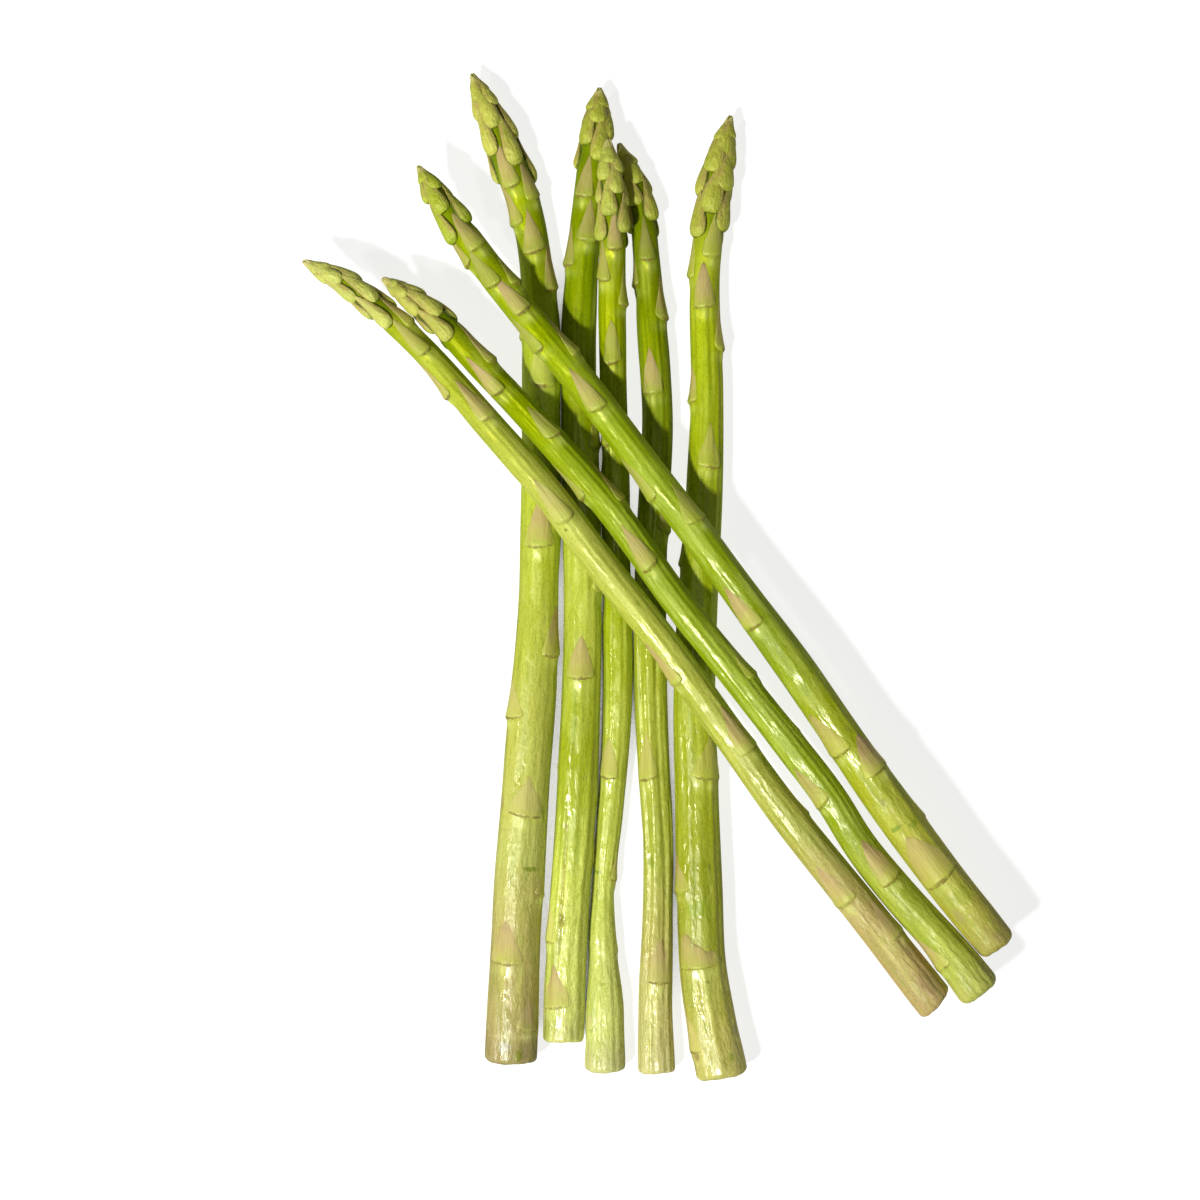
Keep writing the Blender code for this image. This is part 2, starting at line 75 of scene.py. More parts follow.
SPEARS = {
    "lower_1": dict(
        route=[(-33.2, -112.4), (-31.7, -76.9), (-29.7, -47.0), (-27.3, -17.1), (-26.5, 8.2),
               (-26.4, 35.8), (-26.5, 61.1), (-29.1, 82.2), (-35.0, 99.0), (-42.3, 116.1)],
        widths=[(0, 12.0), (0.15, 11.5), (0.3, 10.8), (0.5, 9.1), (0.7, 8.8), (0.82, 7.6),
                (1, 7.6)],
        head=(27.0, 9.0), height=-PRESSED, lift=(1.3, 60.0), slot="pale_green_skin",
        scales=[(8, 37), (23, -23), (39, 65), (57, 4), (79, -70), (94, 66), (119, -4), (137, 150),
                (156, 6), (167, -110), (178, 62), (187, 2), (194, -62), (199, 45), (203, -24)],
        tones=[(0.0, (176, 160, 112)), (0.03, (184, 168, 112)), (0.12, (196, 184, 112)),
               (0.2, (206, 208, 118)), (0.32, (202, 204, 98)), (0.5, (190, 202, 68)),
               (0.68, (190, 206, 70)), (0.82, (152, 172, 8)), (1.0, (140, 158, 16))],
        rim=1.5, bracts=(13.0, 11.5, 0.68, 1.75), bract_tone=(212, 206, 98),
        sheen=(0.18, 0.42, 0.0), ribs=0.8,
        grooves=[(-4, 7, 0.2, 12, 74), (90, 45, 0.17, 112, 182)],
        sized={(39, 65): (0.45, 0.45), (8, 37): (0.6, 0.6), (23, -23): (0.9, 0.85)},
        marks=[(45.2, 28, 1.9, 0.55, (122, 142, 20), 0.8),
               (39.5, 46, 0.9, 1.5, (176, 150, 96), 0.5),
               (4.2, -16, 1.5, 1.5, (186, 184, 170), 0.55),
               (2.4, 17, 0.95, 1.5, (132, 140, 36), 0.85),
               (9.2, 44, 1.5, 1.0, (142, 122, 48), 0.8), (9.0, 62, 1.4, 1.3, (108, 122, 30), 0.7),
               (6.6, 0, 5.5, 0.5, (214, 206, 150), 0.25), (60, -66, 1.0, 1.6, (170, 150, 96), 0.5)],
    ),
    "lower_2": dict(
        route=[(-21.2, -107.8), (-20.5, -86.1), (-18.2, -51.6), (-17.1, -17.1), (-17.0, 8.2),
               (-17.5, 40.4), (-17.6, 58.8), (-16.2, 78.3), (-14.2, 95.6), (-12.6, 112.9)],
        widths=[(0, 9.4), (0.15, 9.4), (0.3, 9.2), (0.5, 8.4), (0.7, 7.7), (0.82, 7.4), (1, 7.4)],
        head=(20.0, 8.2), height=-PRESSED, lift=(1.1, 60.0), slot="green_skin",
        scales=[(8, -26), (23, -72), (41, 125), (62, -145), (84, -3), (104, 78), (121, -125),
                (137, 66), (158, 168), (179, -72), (185, 12), (195, -23)],
        tones=[(0.0, (222, 222, 138)), (0.06, (222, 228, 122)), (0.16, (218, 228, 106)),
               (0.3, (174, 188, 48)), (0.44, (204, 214, 90)), (0.62, (164, 180, 30)),
               (0.8, (132, 154, 6)), (1.0, (138, 154, 20))],
        rim=1.2, bracts=(10.5, 9.0, 0.8, 1.6), bract_tone=(178, 180, 58),
        sheen=(0.17, 0.42, 0.0), ribs=1.0,
        grooves=[(-24, 6, -0.3, 14, 62), (-52, 9, -0.3, 4, 62), (36, 8, 0.3, 0, 74),
                 (-90, 45, -0.25, 12, 112), (-90, 45, 0.2, 108, 178), (90, 45, 0.38, 50, 182)],
        marks=[(34.0, -22, 0.35, 17.0, (152, 142, 34), 0.7),
               (28.5, -17, 0.9, 1.4, (132, 122, 40), 0.7),
               (24.0, -19, 0.5, 4.0, (126, 130, 30), 0.6),
               (50, -25, 0.5, 1.0, (140, 130, 50), 0.6), (28.5, 22, 0.5, 1.0, (140, 150, 40), 0.5),
               (3.0, -60, 2.0, 3.0, (148, 166, 40), 0.5),
               (4.8, -13, 0.6, 1.6, (240, 240, 214), 0.8)],
    ),
    "lower_3": dict(
        route=[(-11.5, -114.7), (-11.6, -97.6), (-12.1, -80.4), (-11.6, -67.7), (-10.1, -53.9),
               (-8.8, -37.8), (-8.4, -19.4), (-8.9, 8.2), (-9.3, 36.4), (-9.8, 65.7), (-9.8, 84.0),
               (-11.0, 100.6)],
        widths=[(0, 9.4), (0.06, 8.5), (0.13, 6.4), (0.2, 5.1), (0.27, 5.8), (0.4, 6.7),
                (0.6, 6.4), (0.8, 6.0), (1, 5.8)],
        head=(24.0, 7.4), height=-PRESSED, lift=(7.6, 95.0), slot="pale_green_skin",
        scales=[(10, -60), (27, 135), (44, 80), (68, -30), (91, 150), (122, 165), (145, -40),
                (164, -6), (177, 64), (183, -50), (190, 11)],
        tones=[(0.0, (214, 212, 142)), (0.05, (222, 228, 134)), (0.2, (206, 216, 100)),
               (0.34, (194, 204, 84)), (0.48, (172, 188, 30)), (0.7, (160, 178, 24)),
               (0.86, (150, 166, 22)), (1.0, (136, 150, 26))],
        rim=1.5, bracts=(9.8, 8.2, 0.86, 1.6), bract_tone=(192, 196, 92),
        sheen=(0.19, 0.42, 0.0), ribs=0.9,
        grooves=[(-90, 45, 0.3, 54, 188), (-90, 50, -0.48, 102, 132), (-88, 45, -0.6, 135, 162)],
        sized={(10, -60): (0.4, 0.4)},
        marks=[(46.2, -26, 1.1, 0.5, (134, 156, 24), 0.8),
               (20.2, -10, 1.2, 0.45, (158, 178, 60), 0.6),
               (10.2, -41, 1.3, 0.6, (156, 176, 56), 0.6),
               (46.5, 52, 1.2, 3.0, (150, 142, 60), 0.6),
               (50.5, 70, 0.7, 1.6, (120, 100, 50), 0.6), (5.5, 60, 0.6, 1.4, (160, 172, 70), 0.4)],
    ),
    "lower_4": dict(
        route=[(0.5, -115.1), (0.2, -97.6), (0.7, -79.2), (0.9, -63.1), (-0.2, -44.7),
               (-0.9, -26.3), (-1.0, -3.3), (0.0, 19.7), (0.6, 38.1), (-0.9, 61.1), (-2.0, 74.9),
               (-3.6, 87.5), (-8.3, 100.1)],
        widths=[(0, 8.5), (0.08, 7.6), (0.2, 6.9), (0.4, 7.3), (0.6, 7.3), (0.75, 7.1),
                (0.88, 6.0), (1, 6.0)],
        head=(22.0, 7.0), height=-PRESSED, lift=(1.2, 60.0), slot="pale_green_skin",
        scales=[(21, 12), (45, -150), (68, -32), (92, 125), (125, 56), (141, -145), (157, -18),
                (174, 60), (182, -84), (188, 3)],
        tones=[(0.0, (218, 210, 146)), (0.06, (218, 210, 140)), (0.14, (200, 194, 112)),
               (0.22, (186, 192, 90)), (0.36, (188, 194, 78)), (0.55, (160, 176, 34)),
               (0.82, (128, 148, 6)), (1.0, (122, 138, 14))],
        rim=1.3, bracts=(9.8, 8.2, 0.88, 1.7), bract_tone=(180, 184, 66),
        sheen=(0.16, 0.4, 0.0), ribs=1.3,
        grooves=[(-38, 11, -0.4, 18, 118), (-8, 10, 0.25, 14, 112), (26, 11, -0.35, 24, 120)],
        marks=[(49, -31, 0.8, 1.5, (130, 150, 24), 0.7), (26, 2, 2.6, 4.6, (184, 166, 98), 0.6),
               (162.5, -28, 0.6, 3.4, (138, 112, 76), 0.7),
               (44, 20, 0.4, 3.0, (146, 156, 50), 0.4), (8, 16, 0.35, 3.0, (170, 146, 92), 0.5),
               (30.5, 24, 0.4, 1.2, (128, 116, 44), 0.6)],
    ),
    "lower_5": dict(
        route=[(15.6, -115.8), (12.9, -102.2), (11.1, -89.6), (10.4, -72.3), (9.8, -49.3),
               (9.1, -30.9), (9.8, -7.9), (11.5, 17.4), (12.2, 42.7), (11.6, 68.0), (13.1, 85.2),
               (15.6, 97.9), (17.6, 106.4)],
        widths=[(0, 12.0), (0.06, 11.3), (0.15, 10.6), (0.3, 10.0), (0.45, 9.3), (0.6, 8.3),
                (0.8, 7.1), (1, 6.9)],
        head=(30.0, 8.7), height=-PRESSED, lift=(1.5, 60.0), slot="pale_green_skin",
        scales=[(7, -82), (26, -8), (43, -76), (69, 36), (93, 160), (118, -110), (141, 8),
                (156, -80), (168, 68), (178, -4), (185, -82), (190, 24)],
        tones=[(0.0, (210, 202, 120)), (0.05, (208, 200, 112)), (0.12, (170, 174, 68)),
               (0.22, (166, 174, 52)), (0.34, (178, 188, 58)), (0.55, (172, 188, 38)),
               (0.75, (176, 192, 38)), (0.88, (178, 190, 60)), (1.0, (142, 152, 34))],
        rim=1.6, bracts=(13.0, 11.0, 0.88, 1.8), bract_tone=(184, 184, 68),
        sheen=(0.19, 0.44, 0.0), ribs=1.4,
        grooves=[(-20, 10, -0.25, 0, 38), (22, 9, -0.22, 0, 34)],
        torn=(26, -8),
        marks=[(49, 27, 0.4, 1.0, (128, 134, 40), 0.7), (39.5, -2, 3.4, 2.2, (140, 164, 22), 0.55),
               (42.5, -32, 0.8, 1.1, (220, 222, 170), 0.6),
               (10.5, 64, 1.2, 1.8, (148, 146, 104), 0.6),
               (4.8, 30, 0.6, 1.2, (132, 156, 24), 0.7), (6.2, -55, 0.9, 1.2, (138, 116, 62), 0.7),
               (22.8, 6, 0.6, 0.5, (126, 140, 30), 0.6),
               (12.5, -14, 0.5, 1.2, (146, 166, 32), 0.5),
               (3.6, 12, 0.4, 1.6, (116, 124, 34), 0.5)],
    ),
    "upper_1": dict(
        route=[(64.4, -98.1), (54.2, -85.2), (40.6, -67.9), (27.0, -50.6), (14.7, -33.2),
               (1.2, -14.8), (-12.7, 3.1), (-25.8, 20.4), (-39.1, 35.8), (-54.4, 52.9),
               (-68.0, 65.0), (-80.6, 71.9)],
        widths=[(0, 9.2), (0.1, 8.4), (0.3, 7.6), (0.5, 7.6), (0.7, 7.1), (0.85, 6.0), (1, 5.8)],
        head=(26.0, 6.6), height=CROSSING_HEIGHT, lift=(0.4, 60.0), slot="pale_green_skin",
        scales=[(18, 52), (31, -36), (52, 125), (72, 34), (94, -62), (116, 160), (139, -10),
                (155, -150), (168, 22), (178, -78), (189, 0), (196, 62)],
        tones=[(0.0, (184, 158, 106)), (0.06, (192, 166, 110)), (0.14, (188, 174, 102)),
               (0.24, (184, 184, 88)), (0.4, (186, 192, 80)), (0.62, (194, 200, 92)),
               (0.78, (176, 186, 74)), (0.9, (164, 176, 40)), (1.0, (160, 172, 36))],
        rim=1.4, cut=0.8, bracts=(12.5, 10.5, 0.78, 1.75), bract_tone=(220, 220, 126),
        sheen=(0.32, 0.56, 0.2), ribs=0.9,
        grooves=[],
        marks=[(137.6, -30, 0.5, 0.5, (112, 100, 30), 0.8),
               (114.5, 16, 0.6, 0.8, (128, 150, 30), 0.5),
               (187.5, -18, 0.7, 0.5, (138, 140, 50), 0.6), (6, 20, 2.0, 3.5, (150, 122, 78), 0.5),
               (97, -30, 0.5, 1.0, (150, 160, 50), 0.5)],
    ),
    "upper_2": dict(
        route=[(74.7, -95.4), (66.6, -85.1), (56.2, -73.4), (46.9, -61.9), (39.7, -50.5),
               (31.1, -39.0), (22.1, -27.5), (4.8, -5.6), (-9.2, 13.9), (-21.9, 28.9),
               (-39.2, 47.4), (-50.2, 59.0), (-62.5, 67.9)],
        widths=[(0, 10.0), (0.1, 8.3), (0.3, 7.5), (0.5, 7.1), (0.7, 7.0), (0.85, 6.2), (1, 6.0)],
        head=(22.0, 7.0), height=CROSSING_HEIGHT, lift=(0.4, 60.0), slot="green_skin",
        scales=[(10, -72), (33, 20), (56, -48), (72, 140), (89, 80), (106, -135), (123, -6),
                (139, 84), (145, -80), (160, 28), (176, -29), (182, 64)],
        tones=[(0.0, (186, 188, 94)), (0.06, (176, 188, 68)), (0.2, (156, 172, 36)),
               (0.38, (156, 178, 34)), (0.55, (152, 174, 34)), (0.75, (146, 168, 24)),
               (0.88, (138, 156, 14)), (1.0, (134, 148, 20))],
        rim=2.3, bracts=(12.0, 10.5, 0.82, 1.7), bract_tone=(204, 200, 104),
        sheen=(0.32, 0.62, 0.16), ribs=1.1,
        grooves=[(38, 8, -0.18, 20, 110)],
        marks=[(90.0, 58, 1.2, 1.0, (116, 88, 40), 0.8), (92.5, 50, 0.8, 2.4, (150, 132, 62), 0.6),
               (160.2, 40, 0.8, 0.6, (98, 108, 22), 0.8),
               (62, 34, 0.25, 24.0, (128, 146, 30), 0.6), (14, 40, 0.6, 1.4, (124, 130, 40), 0.5)],
    ),
    "upper_3": dict(
        route=[(78.6, -85.1), (64.7, -67.5), (52.1, -50.5), (40.2, -33.2), (28.2, -16.0),
               (11.7, 6.6), (-2.3, 25.0), (-17.7, 45.0), (-29.0, 58.8), (-38.2, 70.3),
               (-47.3, 82.9), (-54.3, 93.7)],
        widths=[(0, 8.8), (0.05, 9.4), (0.15, 9.9), (0.3, 9.0), (0.5, 7.8), (0.7, 7.4),
                (0.85, 6.9), (1, 6.4)],
        head=(21.0, 7.6), height=CROSSING_HEIGHT, lift=(0.4, 60.0), slot="green_skin",
        sized={(20.5, -12): (1.1, 1.5)},
        scales=[(20.5, -12), (34, 120), (49, 38), (57, -46), (75, 155), (92, -36), (119, 34),
                (129, -74), (153, -11), (166, 70), (172, -58), (181, 2), (187, 66), (190, -28),
                (197, -78), (199, 18)],
        tones=[(0.0, (176, 164, 86)), (0.05, (182, 176, 74)), (0.16, (184, 186, 60)),
               (0.26, (176, 186, 40)), (0.38, (148, 168, 4)), (0.6, (156, 180, 22)),
               (0.8, (150, 172, 14)), (1.0, (146, 160, 22))],
        rim=2.0, bracts=(12.0, 10.5, 0.84, 2.2), bract_tone=(160, 182, 20),
        sheen=(0.3, 0.62, 0.16), ribs=0.8,
        grooves=[],
        marks=[(120.5, 38, 1.2, 0.5, (206, 212, 110), 0.6),
               (26, 10, 0.5, 1.2, (132, 136, 40), 0.6), (43, -12, 0.5, 1.0, (138, 130, 50), 0.6),
               (61, 30, 0.6, 1.4, (140, 150, 36), 0.5), (12, -40, 1.2, 2.4, (160, 146, 80), 0.5),
               (3.0, 20, 1.6, 1.6, (150, 134, 78), 0.5),
               (36.5, -26, 1.6, 0.6, (112, 140, 14), 0.75),
               (35.2, 18, 1.2, 0.8, (126, 150, 16), 0.6), (28, 20, 0.8, 1.4, (128, 150, 20), 0.5),
               (15.5, 8, 2.6, 2.0, (150, 166, 24), 0.5)],
    ),
}


def ease(t):
    """From 0 to 1 with no corner."""
    t = np.clip(t, 0.0, 1.0)
    return t * t * (3 - 2 * t)


def from_table(rows, at):
    """Values between rows of (place, value), eased from one row to the next."""
    value = np.full(np.shape(at), rows[0][1], float)
    for (a, first), (b, second) in zip(rows, rows[1:]):
        value += (second - first) * ease((at - a) / (b - a))
    return value


def smooth_route(points):
    """Points about a millimetre apart on one smooth curve through the given ones."""
    points = np.array(points, float) - MIDDLE
    knots = np.r_[0.0, np.cumsum(np.linalg.norm(np.diff(points, axis=0), axis=1))]
    last = len(points) - 1
    before = np.clip(np.arange(last + 1) - 1, 0, last)
    after = np.clip(np.arange(last + 1) + 1, 0, last)
    slopes = (points[after] - points[before]) / (knots[after] - knots[before])[:, None]
    line = [points[0]]
    for i in range(last):
        span = knots[i + 1] - knots[i]
        count = max(1, round(span))
        for t in np.arange(1, count + 1) / count:
            line.append(
                points[i] * (1 + 2 * t) * (1 - t) ** 2
                + slopes[i] * span * t * (1 - t) ** 2
                + points[i + 1] * t * t * (3 - 2 * t)
                + slopes[i + 1] * span * t * t * (t - 1)
            )
    return np.array(line)


def stem_radius(spear, s):
    return from_table(spear["widths"], s / spear["length"]) / 2


def core_radius(spear, s):
    """The stem's radius, or that of the head under its bracts."""
    neck, (head_length, head_width) = spear["neck"], spear["head"]
    t = np.clip((s - neck) / head_length, 0, 1)
    at_neck = stem_radius(spear, neck)
    full = head_width / 2 - BRACT_ROOM
    rising = at_neck + (full - at_neck) * ease(t / FULLEST)
    beyond = np.clip((t - FULLEST) / (1 - FULLEST), 0, 1)
    falling = POINT_RADIUS + (full - POINT_RADIUS) * np.cos(math.pi / 2 * beyond**1.15)
    return np.where(s <= neck, stem_radius(spear, s), np.where(t < FULLEST, rising, falling))


def turn_between(a, b):
    """Degrees from b to a, the short way round."""
    return (a - b + 180) % 360 - 180


def skin_radius(spear, s, degrees):
    """The stem's radius with its ribs, dents and the cushions under its leaf scales."""
    r = core_radius(spear, s)
    lower = 1 - ease((s - spear["neck"] + 25) / 25)
    waves = spear["waves"]
    sway = 1.4 * np.sin(s / 23 + waves[0]) + 0.8 * np.sin(s / 9.5 + waves[1])
    round_it = np.radians(degrees)
    ribs = np.sin(11 * round_it + sway) + 0.7 * np.sin(17 * round_it - sway + waves[2])
    r = r + RIB_HEIGHT * spear["ribs"] * lower * ribs
    r = r + 0.06 * np.sin(s / 6.3 + waves[3] + np.sin(round_it + waves[4]))
    r = r + 0.07 * np.sin(s / 14.7 + waves[5] + 2 * np.sin(round_it + waves[6]))
    r = r + 0.05 * np.sin(2 * round_it + s / 31 + waves[7])
    for angle, width, height, start, end in spear["grooves"]:
        aside = turn_between(degrees, angle + 2 * np.sin(s / 17 + waves[1]))
        along = ease((s - start) / 8) * (1 - ease((s - end + 14) / 14))
        r = r + height * along * np.exp(-((aside / width) ** 2))
    for start, angle in spear["scales"]:
        turn = turn_between(degrees, angle)
        after = s - start
        cushion = CUSHION * ease((after + 1.3) / 1.5) * (1 - ease(after / 9))
        waist = -0.06 * np.exp(-(((after + 3.4) / 1.8) ** 2))
        bud = CUSHION * np.exp(-((turn / BUD_WIDTH) ** 2) - ((after + 1.1) / 0.9) ** 2)
        r = r + np.exp(-((turn / CUSHION_WIDTH) ** 2)) * (cushion + waist) + bud
    return r


def lay_on_line(piece, spear):
    """Bends a piece that was made upright along its spear's middle line, and rests it."""
    line = spear["line"]
    course = bpy.data.curves.new("middle_line", "CURVE")
    course.dimensions = "3D"
    course.twist_mode = "Z_UP"
    spline = course.splines.new("POLY")
    spline.points.add(len(line) - 1)
    spline.points.foreach_set("co", np.c_[line * MM, np.ones(len(line))].ravel())
    middle_line = bpy.data.objects.new("middle_line", course)
    bpy.context.collection.objects.link(middle_line)
    bpy.ops.object.select_all(action="DESELECT")
    piece.select_set(True)
    bpy.context.view_layer.objects.active = piece
    bend = piece.modifiers.new("bend", "CURVE")
    bend.object = middle_line
    bend.deform_axis = "POS_Z"
    bpy.ops.object.modifier_apply(modifier="bend")
    bpy.data.objects.remove(middle_line)
    bpy.data.curves.remove(course)
    place = np.empty(len(piece.data.vertices) * 3)
    piece.data.vertices.foreach_get("co", place)
    place[2::3] = np.maximum(place[2::3], 0)
    piece.data.vertices.foreach_set("co", place)
    piece.data.update()


def remember(mesh, name, values):
    """Keeps values with the mesh's points, for its material to read."""
    kind = "FLOAT_VECTOR" if values.ndim == 2 else "FLOAT"
    stored = mesh.attributes.new(name, kind, "POINT")
    stored.data.foreach_set("vector" if values.ndim == 2 else "value", values.ravel())


def paint(tone):
    """A colour as the eye reads it, 0 to 255, as the shader needs it."""
    share = [c / 255 for c in tone]
    return (*(c / 12.92 if c <= 0.04045 else ((c + 0.055) / 1.055) ** 2.4 for c in share), 1.0)


class Shade:
    """A material's nodes, wired one after the other."""

    def __init__(self, name):
        self.material = bpy.data.materials.new(name)
        self.material.use_nodes = True
        self.nodes = self.material.node_tree.nodes
        self.links = self.material.node_tree.links
        self.shader = self.nodes["Principled BSDF"]

    def wire(self, source, socket):
        if isinstance(source, bpy.types.NodeSocket):
            self.links.new(source, socket)
        else:
            socket.default_value = source

    def stored(self, name):
        node = self.nodes.new("ShaderNodeAttribute")
        node.attribute_name = name
        return node

    def split(self, vector):
        node = self.nodes.new("ShaderNodeSeparateXYZ")
        self.wire(vector, node.inputs[0])
        return node.outputs

    def stretch(self, vector, scale, shift=(0, 0, 0)):
        node = self.nodes.new("ShaderNodeMapping")
        self.wire(vector, node.inputs["Vector"])
        node.inputs["Scale"].default_value = scale
        node.inputs["Location"].default_value = shift
        return node.outputs[0]

    def turned(self, vector, degrees):
        node = self.nodes.new("ShaderNodeMapping")
        self.wire(vector, node.inputs["Vector"])
        node.inputs["Rotation"].default_value = (0, 0, math.radians(degrees))
        return node.outputs[0]

    def noise(self, vector, scale, detail=3.0, roughness=0.5, distortion=0.0):
        node = self.nodes.new("ShaderNodeTexNoise")
        self.wire(vector, node.inputs["Vector"])
        node.inputs["Scale"].default_value = scale
        node.inputs["Detail"].default_value = detail
        node.inputs["Roughness"].default_value = roughness
        node.inputs["Distortion"].default_value = distortion
        return node.outputs["Fac"]

    def cells(self, vector, scale):
        node = self.nodes.new("ShaderNodeTexVoronoi")
        self.wire(vector, node.inputs["Vector"])
        node.inputs["Scale"].default_value = scale
        return node.outputs

    def spread(self, value, low, high, to_low=0.0, to_high=1.0):
        node = self.nodes.new("ShaderNodeMapRange")
        node.interpolation_type = "SMOOTHSTEP"
        self.wire(value, node.inputs["Value"])
        node.inputs["From Min"].default_value = low
        node.inputs["From Max"].default_value = high
        node.inputs["To Min"].default_value = to_low
        node.inputs["To Max"].default_value = to_high
        return node.outputs[0]

    def sum(self, kind, a, b):
        node = self.nodes.new("ShaderNodeMath")
        node.operation = kind
        self.wire(a, node.inputs[0])
        self.wire(b, node.inputs[1])
        return node.outputs[0]

    def ramp(self, value, stops):
        node = self.nodes.new("ShaderNodeValToRGB")
        self.wire(value, node.inputs[0])
        stair = node.color_ramp.elements
        for place, _ in stops[1:-1]:
            stair.new(place)
        for step, (place, tone) in zip(stair, stops):
            step.position = place
            step.color = paint(tone)
        return node.outputs[0]

    def length(self, vector):
        node = self.nodes.new("ShaderNodeVectorMath")
        node.operation = "LENGTH"
        self.wire(vector, node.inputs[0])
        return node.outputs["Value"]

    def mix(self, kind, amount, a, b):
        node = self.nodes.new("ShaderNodeMix")
        node.data_type = "RGBA"
        node.blend_type = kind
        self.wire(amount, node.inputs["Factor"])
        self.wire(a, node.inputs[6])
        self.wire(b, node.inputs[7])
        return node.outputs[2]

    def bump(self, height, distance, strength=1.0):
        node = self.nodes.new("ShaderNodeBump")
        self.wire(height, node.inputs["Height"])
        node.inputs["Distance"].default_value = distance
        node.inputs["Strength"].default_value = strength
        self.wire(node.outputs[0], self.shader.inputs["Normal"])


def fresher(tone):
    """The same tone with the blue that the gloss puts back taken off."""
    return (tone[0], tone[1], max(0, tone[2] - 24 * (1 - tone[2] / 130)))


PALE_STREAK_AND_SHEEN = (226, 234, 116)
DEEP_STRAND = (116, 144, 2)
PAINTED_FOOT_HIGHLIGHT = (216, 224, 118)
STEM_IN_HEAD = (96, 122, 0)
PORE = (118, 124, 40)
CUT_FLESH = (196, 190, 138)


def skin_of(name, spear):
    """Moist green skin: its tone changes from the cut end to the head, with fine streaks."""
    shade = Shade(name)
    grown = shade.stored("grown").outputs["Vector"]
    drift = shade.noise(grown, 60.0, 2.0)
    along = shade.sum("DIVIDE", shade.split(grown)[2], spear["length"] * MM)
    along = shade.sum("ADD", along, shade.spread(drift, 0.25, 0.75, -0.03, 0.03))
    tone = shade.ramp(along, [(place, fresher(stem_tone)) for place, stem_tone in spear["tones"]])
    fibres = shade.noise(shade.stretch(grown, (1, 1, 0.08)), 2300.0, 4.0, 0.6)
    tone = shade.mix("MULTIPLY", 1.0, tone,
                     shade.ramp(fibres, [(0.3, (230, 232, 204)), (0.5, (251, 251, 246)),
                                         (0.7, (255, 255, 255))]))
    # Pale streaks: mostly painted highlight, partly paler strands in the skin.
    broad = shade.noise(shade.stretch(grown, (1, 1, 0.14)), 300.0, 3.0, 0.55)
    tone = shade.mix("MIX", shade.spread(broad, 0.5, 0.72, 0.0, 0.3), tone, paint(PALE_STREAK_AND_SHEEN))
    deep = shade.noise(shade.stretch(grown, (1, 1, 0.1), (0.3, 0.1, 0.0)), 380.0, 4.0, 0.6)
    tone = shade.mix("MIX", shade.spread(deep, 0.5, 0.72, 0.0, 0.3), tone, paint(DEEP_STRAND))
    grain = shade.noise(shade.stretch(grown, (1, 1, 0.6)), 3000.0, 3.0, 0.65)
    tone = shade.mix("MULTIPLY", 1.0, tone,
                     shade.ramp(grain, [(0.32, (214, 218, 172)), (0.5, (250, 250, 242)),
                                        (0.7, (255, 255, 255))]))
    # Painted highlight: a pale band on the skin just below each leaf scale's foot.
    tone = shade.mix("MIX", shade.stored("foot_highlight").outputs["Fac"], tone, paint(PAINTED_FOOT_HIGHLIGHT))
    neck = spear["neck"]
    in_head = shade.spread(shade.split(grown)[2], (neck - 2) * MM, (neck + 6) * MM, 0.0, 0.75)
    tone = shade.mix("MIX", in_head, tone, paint(STEM_IN_HEAD))
    rough_edge = shade.sum("SUBTRACT", shade.noise(grown, 1500.0, 3.0, 0.6), 0.5)
    for s, angle, half_width, half_length, stain, strength in spear["marks"]:
        place = (0, float(core_radius(spear, s)), s)
        size = (1 / half_width, 1 / max(half_width, 3.0), 1 / half_length)
        nearby = shade.stretch(shade.turned(grown, -angle), [k / MM for k in size],
                               [-p * k for p, k in zip(place, size)])
        far = shade.sum("ADD", shade.length(nearby), shade.sum("MULTIPLY", rough_edge, 1.6))
        tone = shade.mix("MIX", shade.spread(far, 0.6, 1.25, strength, 0.0), tone, paint(stain))
    pores = shade.cells(shade.stretch(grown, (1, 1, 0.45)), 620.0)
    some = shade.spread(shade.split(pores["Color"])[0], 0.8, 0.86)
    specks = shade.sum("MULTIPLY", shade.spread(pores["Distance"], 0.08, 0.2, 1.0, 0.0), some)
    tone = shade.mix("MIX", shade.sum("MULTIPLY", specks, 0.4), tone, paint(PORE))
    tone = shade.mix("MIX", shade.stored("cut").outputs["Fac"], tone, paint(CUT_FLESH))
    shade.wire(tone, shade.shader.inputs["Base Color"])
    crinkles = shade.noise(shade.stretch(grown, (1, 1, 0.38)), 1000.0, 1.5, 0.5, 0.4)
    shine = shade.noise(shade.stretch(grown, (1, 1, 0.35)), 420.0, 3.0, 0.6)
    glossy, dull, duller_cut = spear["sheen"]
    matt = shade.spread(shine, 0.44, 0.58, dull, glossy)
    matt = shade.sum("ADD", matt, shade.spread(along, 0.3, 0.1, 0.0, duller_cut))
    matt = shade.sum("ADD", matt, shade.spread(along, 0.5, 0.85, 0.0, 0.16))
    shade.wire(matt, shade.shader.inputs["Roughness"])
    shade.shader.inputs["Subsurface Weight"].default_value = 0.1
    shade.shader.inputs["Subsurface Radius"].default_value = (0.8, 1.0, 0.2)
    shade.shader.inputs["Subsurface Scale"].default_value = 0.0014
    shade.shader.inputs["Specular IOR Level"].default_value = 0.9
    gleam = shade.ramp(along, [(0.0, (255, 255, 236)), (0.3, (255, 255, 220)),
                               (0.62, (255, 255, 180)), (0.78, (255, 255, 40)),
                               (1.0, (255, 255, 70))])
    shade.wire(gleam, shade.shader.inputs["Specular Tint"])
    relief = shade.sum("ADD", shade.sum("MULTIPLY", fibres, 0.1), crinkles)
    relief = shade.sum("ADD", relief, shade.sum("MULTIPLY", specks, -0.2))
    relief = shade.sum("MULTIPLY", relief, shade.spread(along, 0.08, 0.7, 1.6, 0.5))
    shade.bump(relief, 0.0002, 0.9)
    return shade.material


